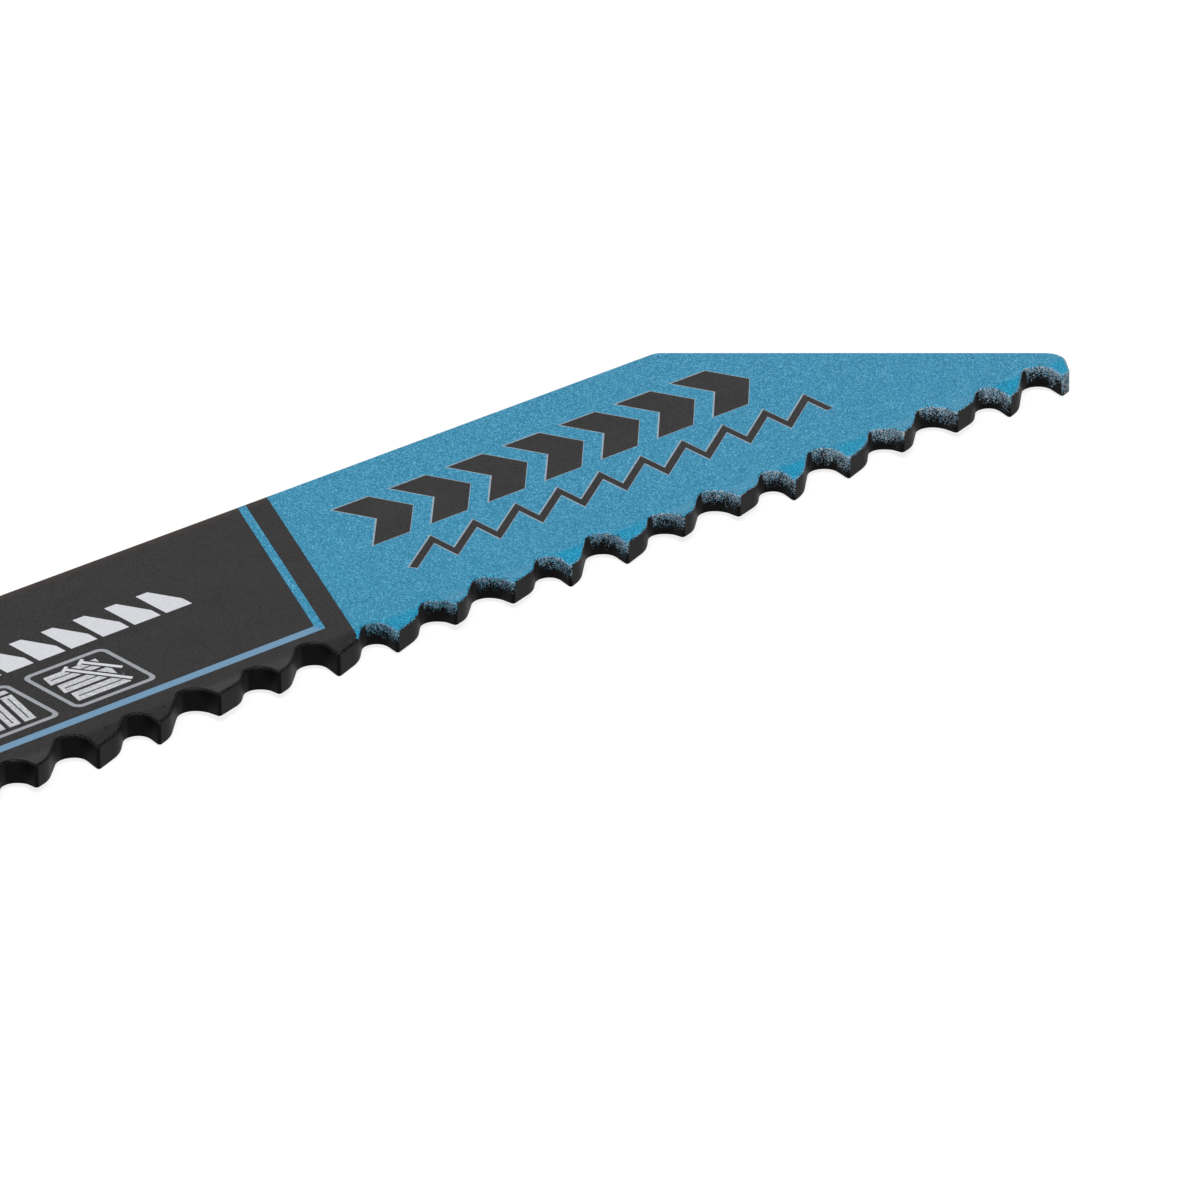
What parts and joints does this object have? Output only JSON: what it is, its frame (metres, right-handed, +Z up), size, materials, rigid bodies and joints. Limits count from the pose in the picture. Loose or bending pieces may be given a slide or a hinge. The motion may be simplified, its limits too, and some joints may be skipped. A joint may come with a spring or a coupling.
{
  "type": "reciprocating saw blade",
  "caption": "Coarse wood-cutting reciprocating saw blade: a flat strip with a sloping nose, set teeth along one edge and a plain tang with a locating hole.",
  "frame": {"origin": "middle of the blade's bounding box in X and Y, at the height of what the blade lies on", "axes": "+X along the blade towards its nose, +Y across it towards the straight back edge, +Z up through its thickness, out of the printed side"},
  "size_m": [0.2286, 0.019, 0.0019],
  "materials": {
    "dark_coat": "satin dark brown-grey heat and varnish coat over steel strip, with worn edges; the tip end of the upper side is sprayed blue",
    "blue_paint": "satin blue spray with a fine grain, which also mists the top of the tooth walls",
    "white_print": "flat off-white screen print"
  },
  "bodies": {
    "root": {"blade": "dark_coat"}
  },
  "joints": []
}
